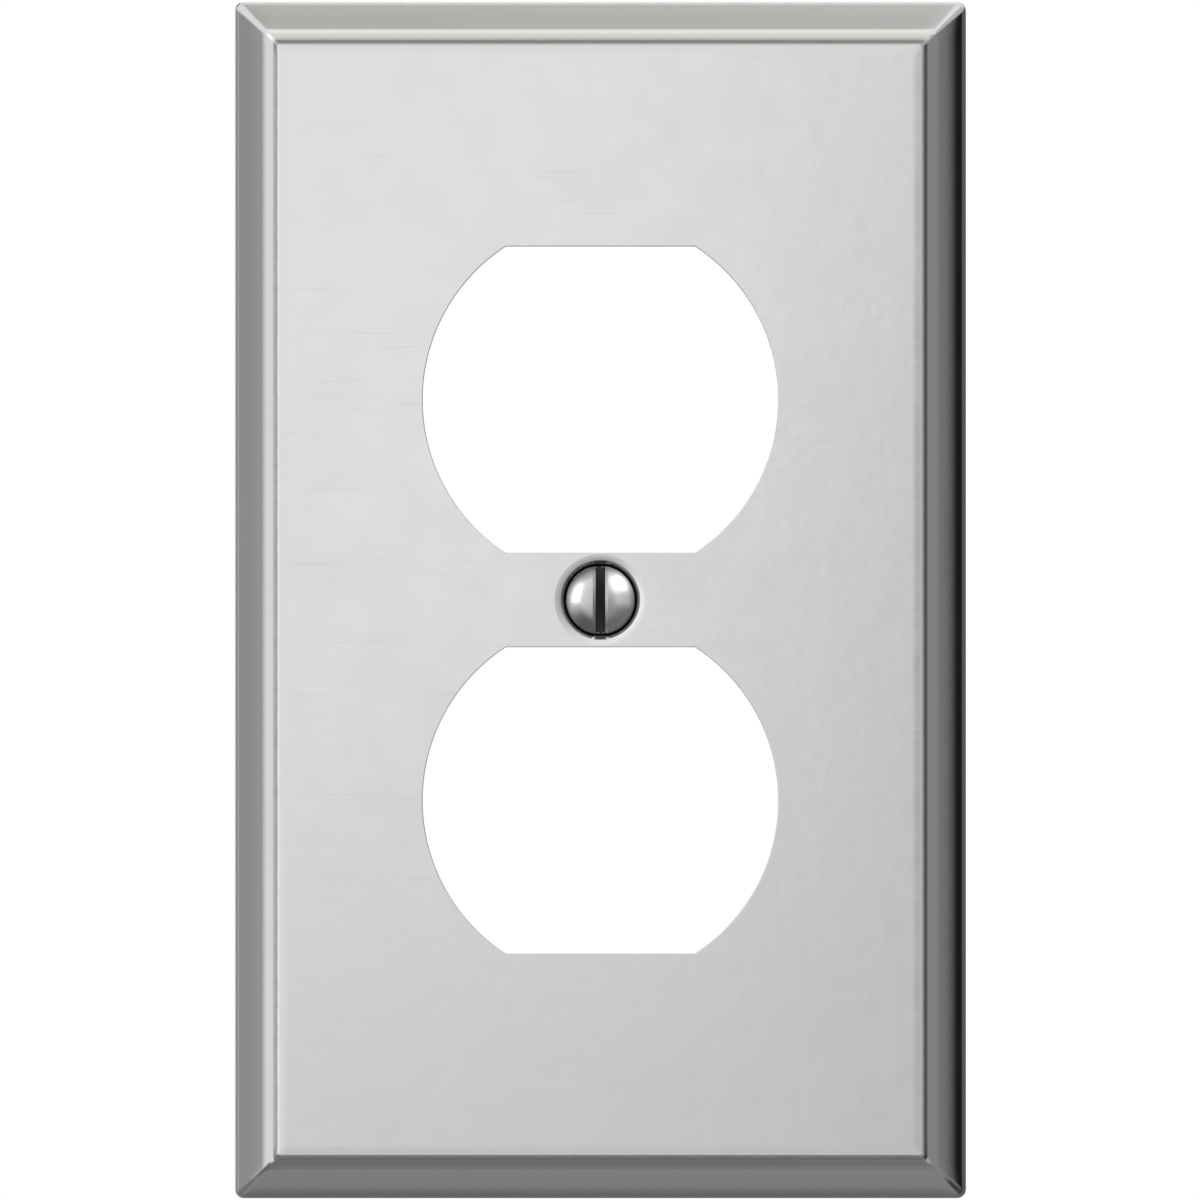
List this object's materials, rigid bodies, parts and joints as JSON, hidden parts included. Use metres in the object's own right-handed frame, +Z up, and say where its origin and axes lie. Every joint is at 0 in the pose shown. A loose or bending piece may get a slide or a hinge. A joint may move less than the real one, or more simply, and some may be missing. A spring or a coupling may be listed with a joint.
{
  "type": "wall plate cover",
  "caption": "Bevelled metal wall plate cover for a duplex electrical outlet, with a captive slotted mounting screw.",
  "frame": {"origin": "on the mounting screw's axis, in the plane of the wall that the rim rests on", "axes": "+Z up the plate's height, +X across its width to the right as seen from the room, +Y into the wall, -Y out into the room"},
  "size_m": [0.0698, 0.0137, 0.1142],
  "materials": {
    "plate_chrome": "polished bright chrome plating on pressed steel, duller on the back",
    "screw_plating": "bright plating on steel, dark and unpolished inside the driver slot",
    "washer_nylon": "natural translucent-white nylon, satin"
  },
  "bodies": {
    "plate": {"cover_plate": "plate_chrome"},
    "retainer": {"retaining_washer": "washer_nylon"},
    "screw": {"mounting_screw": "screw_plating"}
  },
  "joints": [
    {"name": "screw_slide", "type": "slide", "parent": "plate", "child": "retainer", "axis": [0, -1, 0], "range_m": [0, 0.002]},
    {"name": "screw_turn", "type": "hinge", "parent": "retainer", "child": "screw", "pos_m": [0, 0, 0], "axis": [0, -1, 0], "continuous": true}
  ]
}
